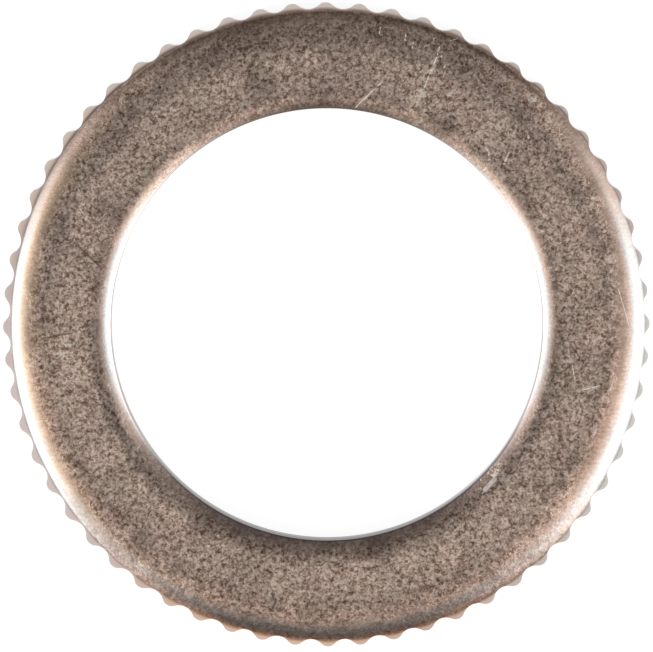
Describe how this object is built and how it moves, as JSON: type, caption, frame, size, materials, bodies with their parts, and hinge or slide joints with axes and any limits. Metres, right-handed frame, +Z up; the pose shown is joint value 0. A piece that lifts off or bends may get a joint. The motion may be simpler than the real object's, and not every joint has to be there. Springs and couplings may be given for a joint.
{
  "type": "reducing ring",
  "caption": "Flat steel reducing ring with a straight-knurled rim, which presses into a saw blade's hole and brings it down to a smaller arbor.",
  "frame": {"origin": "middle of the bore, on the flat face that the ring rests on", "axes": "+Z up along the bore axis, out of the face whose edges are drawn down; +X through the crest of a tooth"},
  "size_m": [0.03, 0.03, 0.0018],
  "materials": {
    "nickel_plate": "steel with a thin warm grey nickel plate, tumbled to a fine dull grain, with a few light scratches"
  },
  "bodies": {
    "root": {"ring": "nickel_plate"}
  },
  "joints": []
}
